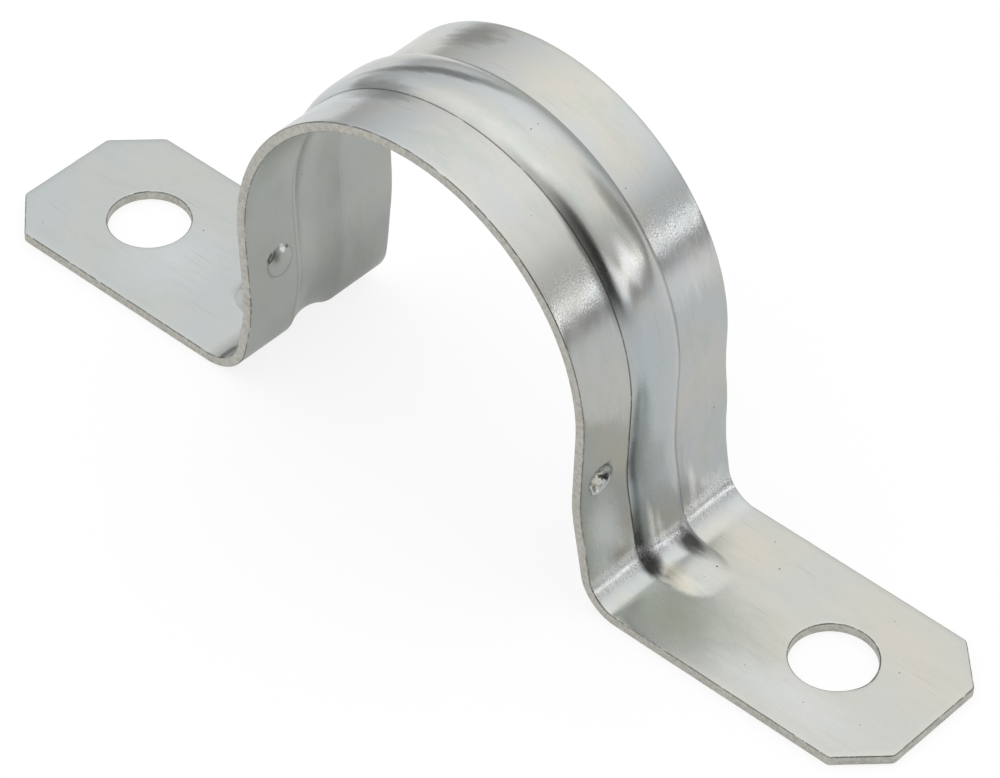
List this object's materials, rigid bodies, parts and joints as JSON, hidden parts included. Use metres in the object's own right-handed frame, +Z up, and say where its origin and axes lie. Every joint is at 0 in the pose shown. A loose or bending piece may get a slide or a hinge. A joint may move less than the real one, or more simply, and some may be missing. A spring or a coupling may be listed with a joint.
{
  "type": "two-hole conduit strap",
  "caption": "Sheet-steel strap that arches over a rigid conduit, with a raised bead along its middle and a flat, corner-cut foot with a screw hole on each side.",
  "frame": {"origin": "on the mounting face, midway between the two screw holes and midway across the strip", "axes": "+X along the strap from the foot with the burred leg to the other foot, +Y across the strip along the conduit, away from the edge that has the detents beside it, +Z up from the mounting face through the saddle"},
  "size_m": [0.0904, 0.0162, 0.0346],
  "materials": {
    "zinc_steel": "bright zinc plating on steel, satin, with fine scratches and grey rub marks"
  },
  "bodies": {
    "root": {"strap": "zinc_steel"}
  },
  "joints": []
}
